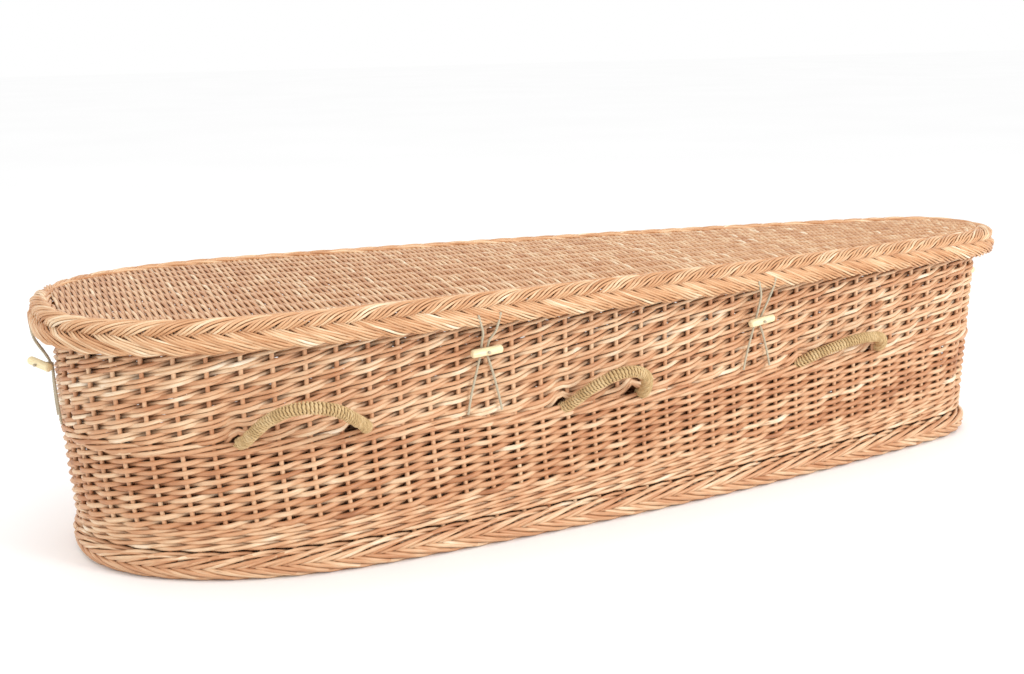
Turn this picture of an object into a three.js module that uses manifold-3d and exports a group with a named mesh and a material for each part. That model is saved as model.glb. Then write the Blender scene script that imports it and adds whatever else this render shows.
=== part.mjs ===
// A woven willow casket: a hollow basket with a round head end and a narrower foot end,
// a lid with a deep plaited border that lifts off, three rope handles on each long side,
// and six wooden toggles with their loops of twine. Millimetres, +Z up, head end at -X.
import * as THREE from "three";
import { mergeVertices } from "three/addons/utils/BufferGeometryUtils.js";
import Module from "manifold-3d";

const wasm = await Module();
wasm.setup();

// Plan of the basket at the ground: the half width runs along the length as a taper plus a bow,
// and each end is closed by a superellipse.
const FOOT_PLAN = {
  headX: -944, footX: 956,
  middle: 203, taper: -94, bow: 73,
  headLength: 488, headPower: 2.24,
  footLength: 153, footPower: 2.84,
};
// The same plan where the wall meets the lid.
const RIM_PLAN = {
  headX: -961, footX: 979,
  middle: 204, taper: -97, bow: 43,
  headLength: 474, headPower: 2.68,
  footLength: 142, footPower: 2.84,
};
// How far the head end bellies out halfway up.
const HEAD_BELLY = 9;
const PLAN_REACH = 950;
const LID_OVERHANG = 32;
const RING_POINTS = 52;
const GAP = 0.35;

// Heights above the ground.
const RECESS_HEIGHT = 12;
const FLOOR_TOP = 30;
const BORDER_HEIGHT = 52;
const WALE_HEIGHT = 96;
const BAND_HEIGHT = 226;
const PLAIT_BOTTOM = 394;
const LID_UNDERSIDE = 421;
const LID_EDGE = 443;
const LID_CROWN = 452;

const WALL = 18;
const BASE_TUCK = 5;

// Handles: middle of the grip along the length, distance between its two holes, their height, how far
// the rope stands out from the wall and up from the holes at its peak, and how far the peak leans
// towards the head end.
const ROPE_RADIUS = 11.5;
const HOLE_PLAY = 0.9;
const HANDLE_SIDES = 8;
const HANDLE_STEPS = 14;
const HANDLES = [
  { name: "head", x: -605, span: 194, height: 245, out: 90, up: 66, skew: 1 },
  { name: "middle", x: -42, span: 154, height: 229, out: 70, up: 64, skew: 0 },
  { name: "foot", x: 528, span: 206, height: 237, out: 46, up: 37, skew: -0.4 },
];

const TOGGLE_LENGTH = 58;
const TOGGLE_RADIUS = 7.5;
const TOGGLE_OUT = 18.6;
const TWINE_RADIUS = 1.5;
const KNOT_RADIUS = 2.8;
// Toggles: place round the wall, height, turn about the vertical and lean of the peg in degrees,
// extra distance from the wall, and how much wider than usual the lid's loop hangs.
const SIDE_TOGGLES = [
  { name: "head_side", x: -283, height: 349, turn: 0, lean: 4 },
  { name: "foot_side", x: 306, height: 333, turn: 0, lean: 6 },
];
const END_TOGGLES = [
  { name: "head_end", place: 0, height: 340, turn: -28, lean: -6, extraOut: 6, spread: 1.4 },
  { name: "foot_end", place: 0.5, height: 345, turn: 0, lean: 5, extraOut: 0 },
];

const mix = (a, b, t) => a + (b - a) * t;

// Plan of the wall at a height: it leans from the ground to the lid's lower edge, and stands upright above it.
const rise = (z) => Math.min(z / PLAIT_BOTTOM, 1);
const tuck = (z) => BASE_TUCK * (1 - rise(z));
function planAt(z) {
  const t = rise(z);
  const plan = Object.fromEntries(
    Object.keys(FOOT_PLAN).map((key) => [key, mix(FOOT_PLAN[key], RIM_PLAN[key], t)]),
  );
  plan.headX -= HEAD_BELLY * 4 * t * (1 - t);
  return plan;
}

function halfWidth(x, plan) {
  const s = x / PLAN_REACH;
  const straight = plan.middle + plan.taper * s + plan.bow * (1 - s * s);
  const fromHead = Math.min(Math.max(1 - (x - plan.headX) / plan.headLength, 0), 1);
  const fromFoot = Math.min(Math.max(1 - (plan.footX - x) / plan.footLength, 0), 1);
  const head = Math.pow(1 - Math.pow(fromHead, plan.headPower), 1 / plan.headPower);
  const foot = Math.pow(1 - Math.pow(fromFoot, plan.footPower), 1 / plan.footPower);
  return straight * head * foot;
}

// The whole outline as a closed curve, from the head end's middle along the front to the foot end and back.
function outline(plan, offset) {
  const half = [];
  const steps = 600;
  for (let i = 0; i <= steps; i++) {
    const u = (1 - Math.cos((Math.PI * i) / steps)) / 2;
    const x = mix(plan.headX, plan.footX, u);
    half.push(new THREE.Vector2(x, -halfWidth(x, plan)));
  }
  const back = half.slice(1, -1).reverse().map((p) => new THREE.Vector2(p.x, -p.y));
  const points = half.concat(back);
  const count = points.length;
  const moved = points.map((p, i) => {
    const along = points[(i + 1) % count].clone().sub(points[(i + count - 1) % count]).normalize();
    return new THREE.Vector2(p.x + along.y * offset, p.y - along.x * offset);
  });
  const length = [0];
  moved.forEach((p, i) => length.push(length[i] + p.distanceTo(moved[(i + 1) % count])));
  return { points: moved, length, count };
}

// Point of an outline at a fraction of its length round from the head end.
function pointAt(curve, fraction) {
  const wanted = (fraction - Math.floor(fraction)) * curve.length[curve.count];
  let low = 0;
  let high = curve.count;
  while (high - low > 1) {
    const middle = (low + high) >> 1;
    if (curve.length[middle] <= wanted) low = middle;
    else high = middle;
  }
  const t = (wanted - curve.length[low]) / (curve.length[low + 1] - curve.length[low]);
  return curve.points[low].clone().lerp(curve.points[(low + 1) % curve.count], t);
}

function ring(plan, offset, z) {
  const curve = outline(plan, offset);
  return Array.from({ length: RING_POINTS }, (_, i) => {
    const p = pointAt(curve, i / RING_POINTS);
    return new THREE.Vector3(p.x, p.y, z);
  });
}

// The wall stands a little further in at the ground than the plan, and its borders stand proud of it.
const wallRing = (z, proud) => ring(planAt(z), proud - tuck(z), z);

// A closed solid through a row of rings. Its first and last rings are closed flat, by strips across the width.
function loft(rings) {
  const positions = rings.flatMap((r) => r.flatMap((p) => [p.x, p.y, p.z]));
  const n = RING_POINTS;
  const index = [];
  for (let k = 0; k + 1 < rings.length; k++)
    for (let i = 0; i < n; i++) {
      const [a, b] = [k * n + i, k * n + ((i + 1) % n)];
      index.push(a, b, b + n, a, b + n, a + n);
    }
  const cap = (start, turned) => {
    for (let i = 0; i < n / 2; i++) {
      const [a, b, c, d] = [i, i + 1, (n - i - 1) % n, (n - i) % n].map((j) => start + j);
      const faces = [];
      if (i + 1 < n / 2) faces.push([a, c, b]);
      if (i > 0) faces.push([a, d, c]);
      faces.forEach(([p, q, r]) => index.push(...(turned ? [p, r, q] : [p, q, r])));
    }
  };
  cap(0, false);
  cap((rings.length - 1) * n, true);
  const geometry = new THREE.BufferGeometry();
  geometry.setAttribute("position", new THREE.Float32BufferAttribute(positions, 3));
  geometry.setIndex(index);
  return geometry;
}

function toSolid(geometry) {
  const bare = new THREE.BufferGeometry();
  bare.setAttribute("position", geometry.getAttribute("position").clone());
  if (geometry.index) bare.setIndex(geometry.index);
  const merged = mergeVertices(bare, 1e-3);
  return new wasm.Manifold(new wasm.Mesh({
    numProp: 3,
    vertProperties: new Float32Array(merged.attributes.position.array),
    triVerts: new Uint32Array(merged.index.array),
  }));
}

function toGeometry(solid) {
  const mesh = solid.getMesh();
  const geometry = new THREE.BufferGeometry();
  geometry.setAttribute("position", new THREE.BufferAttribute(new Float32Array(mesh.vertProperties), 3));
  geometry.setIndex(new THREE.BufferAttribute(new Uint32Array(mesh.triVerts), 1));
  return geometry;
}

// A closed tube along a smooth curve through the points.
function tube(points, radius, sides, steps) {
  const circle = Array.from({ length: sides }, (_, i) => {
    const angle = (2 * Math.PI * i) / sides;
    return new THREE.Vector2(radius * Math.cos(angle), radius * Math.sin(angle));
  });
  const extrudePath = new THREE.CatmullRomCurve3(points, false, "centripetal");
  return new THREE.ExtrudeGeometry(new THREE.Shape(circle), { steps, extrudePath, curveSegments: 1 });
}

// Places near the wall: a fraction round the outline, a distance along it, a height and a distance out.
const wallCurve = outline(planAt(BAND_HEIGHT), 0);
const wallLength = wallCurve.length[wallCurve.count];

function fractionAtX(x) {
  let [low, high] = [0, 0.5];
  for (let i = 0; i < 40; i++) {
    const middle = (low + high) / 2;
    if (pointAt(wallCurve, middle).x < x) low = middle;
    else high = middle;
  }
  return low;
}

function wallFrame(fraction) {
  const before = pointAt(wallCurve, fraction - 0.002);
  const after = pointAt(wallCurve, fraction + 0.002);
  const along = after.sub(before).normalize();
  return {
    along: new THREE.Vector3(along.x, along.y, 0),
    outward: new THREE.Vector3(along.y, -along.x, 0),
  };
}

// How far the plan at a height stands out from the reference outline, along the reference's own outward line.
function standOut(start, outward, plan) {
  let [low, high] = [-80, 80];
  for (let i = 0; i < 40; i++) {
    const middle = (low + high) / 2;
    const p = start.clone().addScaledVector(outward, middle);
    const inside = p.x > plan.headX && p.x < plan.footX && Math.abs(p.y) < halfWidth(p.x, plan);
    if (inside) low = middle;
    else high = middle;
  }
  return low;
}

function nearWall(fraction, along, z, out) {
  const at = fraction + along / wallLength;
  const base = pointAt(wallCurve, at);
  const start = new THREE.Vector3(base.x, base.y, z);
  const { outward } = wallFrame(at);
  return start.addScaledVector(outward, standOut(start, outward, planAt(z)) + out - tuck(z));
}

const material = (color, roughness) => new THREE.MeshStandardMaterial({ color, roughness, metalness: 0 });
const WILLOW = material(0xd9a978, 0.6);
const LID_WILLOW = material(0xdcae80, 0.58);
const SEAGRASS = material(0xc9b78c, 0.85);
const PEELED_WOOD = material(0xf0e2bd, 0.55);
const TWINE = material(0xa3926f, 0.9);

const casket = new THREE.Group();

function add(name, geometry, look) {
  const mesh = new THREE.Mesh(geometry, look);
  mesh.name = name;
  casket.add(mesh);
  return mesh;
}

// Rope handle: out of its first hole, up and away from the wall, and back in at the second.
function handlePoints(handle, side) {
  const middle = side * fractionAtX(handle.x);
  const half = handle.span / 2;
  const { out, up, skew } = handle;
  const stations = [
    [-half - 9, -WALL + 3, -9], [-half - 2, -1, -3], [-half + 9, out * 0.24, up * (0.2 + 0.03 * skew)],
    [-half * 0.66, out * 0.58, up * (0.57 + 0.11 * skew)],
    [-half * 0.3, out * 0.9, up * (0.9 + 0.09 * skew)], [half * 0.05, out, up],
    [half * 0.4, out * 0.95, up * (0.92 - 0.07 * skew)], [half * 0.74, out * 0.72, up * (0.66 - 0.17 * skew)],
    [half - 2, out * 0.32, up * (0.24 - 0.08 * skew)], [half + 5, 2, 0], [half + 7, -WALL + 3, -4],
  ];
  const base = nearWall(middle, 0, handle.height, 0);
  const { along, outward } = wallFrame(middle);
  return stations.map(([a, out, up]) =>
    base.clone().addScaledVector(along, side * a).addScaledVector(outward, out)
      .add(new THREE.Vector3(0, 0, up)));
}

const handles = [];
for (const side of [1, -1])
  for (const handle of HANDLES)
    handles.push({
      name: `handle_${side > 0 ? "front" : "back"}_${handle.name}`,
      points: handlePoints(handle, side),
    });

// Basket: recessed floor, rounded foot border, wale, wall with its band, plain rim, and the inside.
const basketRings = [
  wallRing(RECESS_HEIGHT, -WALL - 12), wallRing(RECESS_HEIGHT, -WALL - 2), wallRing(2, -WALL + 2),
  wallRing(0, -WALL + 5), wallRing(0, 0), wallRing(6, 7), wallRing(18, 11), wallRing(34, 11),
  wallRing(45, 7), wallRing(BORDER_HEIGHT, 0), wallRing(BORDER_HEIGHT + 6, 5), wallRing(WALE_HEIGHT - 6, 5),
  wallRing(WALE_HEIGHT, 0), wallRing(BAND_HEIGHT - 8, 0), wallRing(BAND_HEIGHT, 5),
  wallRing(BAND_HEIGHT + 8, 0), wallRing(PLAIT_BOTTOM, 0), wallRing(LID_UNDERSIDE - GAP, 0),
  wallRing(LID_UNDERSIDE - GAP, -WALL), wallRing(PLAIT_BOTTOM, -WALL), wallRing(FLOOR_TOP + 4, -WALL),
  wallRing(FLOOR_TOP, -WALL - 4),
];
// Each hole follows its rope, with a little play, and goes on through the wall past the rope's end.
function holeOf(points) {
  const radius = ROPE_RADIUS + HOLE_PLAY;
  const beyond = (end, next) => {
    const outwards = end.clone().sub(next).normalize();
    return [end.clone().addScaledVector(outwards, -2), end.clone().addScaledVector(outwards, 25)];
  };
  const ends = [beyond(points[0], points[1]), beyond(points.at(-1), points.at(-2))];
  return ends.reduce((solid, pair) => solid.add(toSolid(tube(pair, radius + 0.6, HANDLE_SIDES, 1))),
    toSolid(tube(points, radius, HANDLE_SIDES, HANDLE_STEPS)));
}
const drilled = handles.reduce(
  (solid, handle) => solid.subtract(holeOf(handle.points)),
  toSolid(loft(basketRings)),
);
add("basket", toGeometry(drilled), WILLOW);

// Lid: woven panel with a low crown, inside a plaited border that hangs over the rim.
function crownRing(width, shorter, z) {
  const reach = (RIM_PLAN.footX - RIM_PLAN.headX) / 2;
  const centre = (RIM_PLAN.footX + RIM_PLAN.headX) / 2;
  return ring(RIM_PLAN, 0, z).map((p) =>
    new THREE.Vector3(centre + (p.x - centre) * (1 - shorter / reach), p.y * width, z));
}
const edge = (inset, z) => ring(RIM_PLAN, LID_OVERHANG - inset, z);
const lidRings = [
  edge(26, LID_UNDERSIDE), edge(25, PLAIT_BOTTOM + 6), edge(20, PLAIT_BOTTOM), edge(10, PLAIT_BOTTOM),
  edge(3, PLAIT_BOTTOM + 7), edge(0, PLAIT_BOTTOM + 22), edge(1, LID_EDGE - 10), edge(7, LID_EDGE - 1),
  edge(16, LID_EDGE + 2), edge(27, LID_EDGE), crownRing(0.8, 45, 447),
  crownRing(0.55, 110, 450), crownRing(0.3, 200, LID_CROWN),
];
add("lid", loft(lidRings), LID_WILLOW);

for (const handle of handles)
  add(handle.name, tube(handle.points, ROPE_RADIUS, HANDLE_SIDES, HANDLE_STEPS), SEAGRASS);

// Peg with rounded ends, its axis along X, and a small hole through its middle along Y.
function togglePeg() {
  const [half, r] = [TOGGLE_LENGTH / 2, TOGGLE_RADIUS];
  const profile = [[0, -half], [r - 2, -half], [r, -half + 3], [r, half - 3], [r - 2, half], [0, half]]
    .map(([x, y]) => new THREE.Vector2(x, y));
  const peg = new THREE.LatheGeometry(profile, 10).rotateZ(-Math.PI / 2);
  const drill = new THREE.CylinderGeometry(TWINE_RADIUS + 0.5, TWINE_RADIUS + 0.5, 4 * r, 8);
  return toSolid(peg).subtract(toSolid(drill));
}
const pegSolid = togglePeg();

// One fastening: the peg, the basket's loop that holds it, and the lid's loop that hooks behind it.
function addToggle(name, fraction, toggle) {
  const { height, turn, lean, extraOut = 0, spread = 1 } = toggle;
  const { along, outward } = wallFrame(fraction);
  const out = TOGGLE_OUT + extraOut;
  const place = (a, z, o) => nearWall(fraction, a, z, o);
  const centre = place(0, height, out);

  const turned = THREE.MathUtils.degToRad(turn);
  const axis = along.clone().multiplyScalar(Math.cos(turned)).addScaledVector(outward, Math.sin(turned));
  const through = outward.clone().multiplyScalar(Math.cos(turned)).addScaledVector(along, -Math.sin(turned));
  axis.applyAxisAngle(through, THREE.MathUtils.degToRad(lean));
  const up = new THREE.Vector3().crossVectors(axis, through);
  const turnTo = new THREE.Matrix4().makeBasis(axis, through, up);
  const peg = add(`toggle_${name}`, toGeometry(pegSolid), PEELED_WOOD);
  peg.setRotationFromMatrix(turnTo);
  peg.position.copy(centre);

  const bottom = BAND_HEIGHT + 13;
  const apex = place(0, height, 4.2);
  const basketLoop = tube([place(-33, bottom, 2.2), place(-26, mix(bottom, height, 0.3), 3.2),
    place(-14, mix(bottom, height, 0.68), 4), place(-5, height - 7, 4.2), apex, place(5, height - 7, 4.2),
    place(15, mix(bottom, height, 0.66), 4), place(25, mix(bottom, height, 0.3), 3.2),
    place(32, bottom, 2.2)], TWINE_RADIUS, 8, 10);
  const front = centre.clone().addScaledVector(through, TOGGLE_RADIUS + KNOT_RADIUS);
  const behind = centre.clone().addScaledVector(through, -TOGGLE_RADIUS - 1.5);
  const knot = new THREE.SphereGeometry(KNOT_RADIUS, 6, 4).translate(front.x, front.y, front.z);
  const held = [tube([apex, behind], TWINE_RADIUS, 8, 1), tube([behind, front], TWINE_RADIUS, 8, 1), knot]
    .reduce((solid, piece) => solid.add(toSolid(piece)), toSolid(basketLoop));
  add(`basket_twine_${name}`, toGeometry(held), TWINE);

  const plaitOut = LID_OVERHANG + TWINE_RADIUS + GAP + 0.4;
  add(`lid_twine_${name}`, tube([place(-21, PLAIT_BOTTOM + 23, plaitOut), place(-17, PLAIT_BOTTOM + 8, plaitOut),
    place(-12, PLAIT_BOTTOM - 8, plaitOut - 3), place(-7 * spread, height + 18, 15),
    place(-5.5 * spread, height + 4, 8.1), place(-3.5 * spread, height - 4, 8.4), place(0, height - 7, 8.8),
    place(3.5 * spread, height - 4, 8.4), place(5.5 * spread, height + 4, 8.1),
    place(7 * spread, height + 18, 15), place(12, PLAIT_BOTTOM - 8, plaitOut - 3),
    place(17, PLAIT_BOTTOM + 8, plaitOut), place(21, PLAIT_BOTTOM + 23, plaitOut)],
    TWINE_RADIUS, 8, 14), TWINE);
}

for (const side of [1, -1])
  for (const toggle of SIDE_TOGGLES)
    addToggle(`${side > 0 ? "front" : "back"}_${toggle.name}`, side * fractionAtX(toggle.x), toggle);
for (const toggle of END_TOGGLES) addToggle(toggle.name, toggle.place, toggle);

// The origin is under the middle of the whole length.
const bounds = new THREE.Box3().setFromObject(casket, true);
casket.position.x = -(bounds.min.x + bounds.max.x) / 2;

export default casket;
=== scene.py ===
"""Woven willow casket: the basket, its lid, rope handles, toggles and twine, in looks."""

import math

import bmesh
import bpy
from mathutils import Matrix, Vector


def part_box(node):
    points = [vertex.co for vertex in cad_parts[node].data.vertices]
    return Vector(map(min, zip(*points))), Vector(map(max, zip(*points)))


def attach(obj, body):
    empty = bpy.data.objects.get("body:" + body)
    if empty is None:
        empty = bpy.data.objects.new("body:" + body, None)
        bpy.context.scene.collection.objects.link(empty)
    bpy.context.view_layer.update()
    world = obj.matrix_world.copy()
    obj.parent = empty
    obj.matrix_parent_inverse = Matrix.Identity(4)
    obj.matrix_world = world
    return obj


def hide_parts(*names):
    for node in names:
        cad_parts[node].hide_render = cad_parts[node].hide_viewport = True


bl_info = {
    "name": "Wicker Casket",
    "version": (1, 0, 0),
    "blender": (4, 5, 0),
    "location": "3D View > Sidebar > Casket",
    "description": "Weaves a willow casket with a plaited lid, rope handles and wooden toggles",
    "category": "Add Mesh",
}

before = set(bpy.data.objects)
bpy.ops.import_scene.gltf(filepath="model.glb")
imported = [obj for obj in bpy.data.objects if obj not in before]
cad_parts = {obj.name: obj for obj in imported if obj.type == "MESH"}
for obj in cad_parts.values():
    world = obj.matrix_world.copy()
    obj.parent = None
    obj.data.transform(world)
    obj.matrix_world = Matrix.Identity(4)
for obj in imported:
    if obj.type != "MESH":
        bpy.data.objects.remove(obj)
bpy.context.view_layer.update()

# Plan of the wall at the ground and at the lid, in metres, with the head end at -X.
GROUND_PLAN = {
    "head_x": -0.944, "foot_x": 0.956, "middle": 0.203, "taper": -0.094, "bow": 0.073,
    "head_length": 0.488, "head_power": 2.24, "foot_length": 0.153, "foot_power": 2.84,
}
RIM_PLAN = {
    "head_x": -0.961, "foot_x": 0.979, "middle": 0.204, "taper": -0.097, "bow": 0.043,
    "head_length": 0.474, "head_power": 2.68, "foot_length": 0.142, "foot_power": 2.84,
}
HEAD_BELLY = 0.009
PLAN_REACH = 0.95
PLAIT_BOTTOM = 0.394
BASE_TUCK = 0.005
LID_OVERHANG = 0.032
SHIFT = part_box("lid")[0].x + LID_OVERHANG - RIM_PLAN["head_x"]
WALL_MIDDLE = -0.0102
BAND_HEIGHT = 0.226
WALE_TOP = 0.090
SAG_AT_FOOT = -0.009
SAG_AT_HEAD = 0.002
SAG_START = 0.58
SAG_STEEPNESS = 11
WALL = 0.018
ROPE_RADIUS = 0.0115
TOGGLE_RADIUS = 0.0075
TOGGLE_OUT = 0.0186
BORE_RADIUS = 0.0021
TWINE_RADIUS = 0.0015
KNOT_RADIUS = 0.0028
TWINE_TWISTS = 150
APEX_OUT = 0.0042

HANDLES = (
    {"name": "head", "x": -0.605, "span": 0.194, "height": 0.245, "out": 0.090, "up": 0.066, "skew": 1.0},
    {"name": "middle", "x": -0.042, "span": 0.154, "height": 0.229, "out": 0.070, "up": 0.064, "skew": 0.0},
    {"name": "foot", "x": 0.528, "span": 0.206, "height": 0.237, "out": 0.046, "up": 0.037, "skew": -0.4},
)
SIDE_TOGGLES = (
    {"name": "head_side", "x": -0.283, "height": 0.349, "turn": 0, "lean": 4},
    {"name": "foot_side", "x": 0.306, "height": 0.333, "turn": 0, "lean": 6},
)
END_TOGGLES = (
    {"name": "head_end", "at": 0.0, "height": 0.340, "turn": -28, "lean": -6, "away": 0.006, "spread": 1.4},
    {"name": "foot_end", "at": 0.5, "height": 0.345, "turn": 0, "lean": 5},
)


class Value:
    """A socket that carries a number. Python's arithmetic on it adds the Math nodes."""

    def __init__(self, graph, socket):
        self.graph = graph
        self.socket = socket

    def math(self, operation, *others):
        return self.graph.math(operation, self, *others)

    def __add__(self, other):
        return self.math("ADD", other)

    def __sub__(self, other):
        return self.math("SUBTRACT", other)

    def __rsub__(self, other):
        return self.graph.math("SUBTRACT", other, self)

    def __mul__(self, other):
        return self.math("MULTIPLY", other)

    def __truediv__(self, other):
        return self.math("DIVIDE", other)

    def __pow__(self, other):
        return self.math("POWER", other)

    def __neg__(self):
        return self.math("MULTIPLY", -1.0)

    __radd__ = __add__
    __rmul__ = __mul__


# Plan of the wall

def mix(a, b, t):
    """From a to b as t goes from 0 to 1."""
    return a + (b - a) * t


def clamped(number):
    """A number, or a socket that carries one, kept from 0 to 1."""
    if isinstance(number, Value):
        return number.math("MAXIMUM", 0.0).math("MINIMUM", 1.0)
    return min(max(number, 0.0), 1.0)


def side_width(x, plan):
    """Half of the width between the plan's long sides, without the rounding of its ends."""
    s = x / PLAN_REACH
    return plan["middle"] + plan["taper"] * s + plan["bow"] * (1 - s * s)


def half_width(x, plan):
    """Half of the plan's width at a place along it."""
    from_head = clamped(1 - (x - plan["head_x"]) / plan["head_length"])
    from_foot = clamped(1 - (plan["foot_x"] - x) / plan["foot_length"])
    head = (1 - from_head ** plan["head_power"]) ** (1 / plan["head_power"])
    foot = (1 - from_foot ** plan["foot_power"]) ** (1 / plan["foot_power"])
    return side_width(x, plan) * head * foot


def plan_at(height):
    """The wall's plan at a height: it leans up to the lid's lower edge and is upright above it."""
    rise = min(height / PLAIT_BOTTOM, 1.0)
    plan = {key: mix(GROUND_PLAN[key], RIM_PLAN[key], rise) for key in GROUND_PLAN}
    plan["head_x"] -= HEAD_BELLY * 4 * rise * (1 - rise)
    return plan


def outline(plan, steps=600):
    """The closed outline, from the middle of the head end along the front to the foot end and back."""
    half = []
    for i in range(steps + 1):
        x = mix(plan["head_x"], plan["foot_x"], (1 - math.cos(math.pi * i / steps)) / 2)
        half.append(Vector((x, -half_width(x, plan), 0.0)))
    return half + [Vector((p.x, -p.y, 0.0)) for p in reversed(half[1:-1])]


class Loop:
    """A closed row of points that is measured round its length."""

    def __init__(self, points):
        self.points = points
        self.run = [0.0]
        for a, b in zip(points, points[1:] + points[:1]):
            self.run.append(self.run[-1] + (b - a).length)
        self.length = self.run[-1]

    def at(self, fraction):
        """The point at a fraction of the length."""
        wanted = (fraction % 1.0) * self.length
        low, high = 0, len(self.points)
        while high - low > 1:
            middle = (low + high) // 2
            if self.run[middle] <= wanted:
                low = middle
            else:
                high = middle
        t = (wanted - self.run[low]) / (self.run[low + 1] - self.run[low])
        return self.points[low].lerp(self.points[(low + 1) % len(self.points)], t)

    def directions(self, fraction):
        """Along the loop and out of it, level."""
        along = (self.at(fraction + 0.002) - self.at(fraction - 0.002)).normalized()
        return along, Vector((along.y, -along.x, 0.0))


WALL_LOOP = Loop(outline(plan_at(BAND_HEIGHT)))


def fraction_at(x):
    """Fraction of the wall's length at a place along the front."""
    low, high = 0.0, 0.5
    for _ in range(40):
        middle = (low + high) / 2
        if WALL_LOOP.at(middle).x < x:
            low = middle
        else:
            high = middle
    return low


def near_wall(fraction, along, height, out):
    """A point near the wall: a fraction round it, a distance along it, a height and a distance out."""
    at = fraction + along / WALL_LOOP.length
    start = WALL_LOOP.at(at)
    outward = WALL_LOOP.directions(at)[1]
    plan = plan_at(height)
    low, high = -0.08, 0.08
    for _ in range(40):
        middle = (low + high) / 2
        p = start + outward * middle
        inside = plan["head_x"] < p.x < plan["foot_x"] and abs(p.y) < half_width(p.x, plan)
        if inside:
            low = middle
        else:
            high = middle
    tuck = BASE_TUCK * (1 - min(height / PLAIT_BOTTOM, 1.0))
    p = start + outward * (low + out - tuck)
    return Vector((p.x + SHIFT, p.y, height))


def smooth_line(points, per_segment=12):
    """Points on the centripetal Catmull-Rom curve through a row of points."""
    row = [2 * points[0] - points[1], *points, 2 * points[-1] - points[-2]]
    line = []
    for i in range(len(points) - 1):
        p = row[i:i + 4]
        t = [0.0]
        for a, b in zip(p, p[1:]):
            t.append(t[-1] + max((b - a).length, 1e-9) ** 0.5)
        for k in range(per_segment):
            s = mix(t[1], t[2], k / per_segment)
            a = [p[j].lerp(p[j + 1], (s - t[j]) / (t[j + 1] - t[j])) for j in range(3)]
            b = [a[j].lerp(a[j + 1], (s - t[j]) / (t[j + 2] - t[j])) for j in range(2)]
            line.append(b[0].lerp(b[1], (s - t[1]) / (t[2] - t[1])))
    line.append(points[-1].copy())
    return line


def length_of(line):
    """Length of a row of points."""
    return sum((b - a).length for a, b in zip(line, line[1:]))


# Objects and meshes

def placed(name, data):
    """A new object in the scene."""
    thing = bpy.data.objects.new(name, data)
    bpy.context.scene.collection.objects.link(thing)
    return thing


def mesh_of(name, shape):
    """A mesh with the shape, which is then freed."""
    mesh = bpy.data.meshes.new(name)
    shape.to_mesh(mesh)
    shape.free()
    return mesh


def take_in(piece):
    """Makes the result of the piece's modifiers its mesh."""
    graph = bpy.context.evaluated_depsgraph_get()
    mesh = bpy.data.meshes.new_from_object(piece.evaluated_get(graph), depsgraph=graph)
    old = piece.data
    piece.modifiers.clear()
    piece.data = mesh
    bpy.data.meshes.remove(old)
    mesh.name = piece.name
    return mesh


def drop(*things):
    """Removes objects that are no longer needed, with their curves or meshes."""
    for thing in things:
        data = thing.data
        bpy.data.objects.remove(thing)
        kind = bpy.data.curves if isinstance(data, bpy.types.Curve) else bpy.data.meshes
        kind.remove(data)


# Node trees

class Graph:
    """A node tree that is being built."""

    def __init__(self, tree):
        self.tree = tree

    def add(self, kind, inputs=None, settings=None, output=0):
        """Adds a node: its settings, then a value or link for each input. Returns the named outputs."""
        node = self.tree.nodes.new(kind)
        for name, value in (settings or {}).items():
            if name == "stops":
                self.set_stops(node.color_ramp, value)
            else:
                setattr(node, name, value)
        for key, value in (inputs or {}).items():
            socket = self.socket(node.inputs, key)
            if isinstance(value, Value):
                self.tree.links.new(value.socket, socket)
            else:
                socket.default_value = value
        if isinstance(output, tuple):
            return [Value(self, self.socket(node.outputs, key)) for key in output]
        return Value(self, self.socket(node.outputs, output))

    def socket(self, sockets, key):
        """A socket by number, or the first one in use with that name or identifier."""
        if isinstance(key, int):
            return sockets[key]
        return next(s for s in sockets if s.enabled and key in (s.name, s.identifier))

    def set_stops(self, ramp, stops):
        """Places and colours of a ramp."""
        while len(ramp.elements) < len(stops):
            ramp.elements.new(0.5)
        for element, (place, colour) in zip(ramp.elements, stops):
            element.position = place
            element.color = colour

    def math(self, operation, *values):
        return self.add("ShaderNodeMath", dict(enumerate(values)), {"operation": operation})

    def vector(self, x, y, z):
        return self.add("ShaderNodeCombineXYZ", {0: x, 1: y, 2: z})

    def split(self, vector):
        return self.add("ShaderNodeSeparateXYZ", {0: vector}, output=(0, 1, 2))


SOCKET_KINDS = {
    int: "NodeSocketInt", float: "NodeSocketFloat",
    bpy.types.Object: "NodeSocketObject", bpy.types.Material: "NodeSocketMaterial",
}


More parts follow.
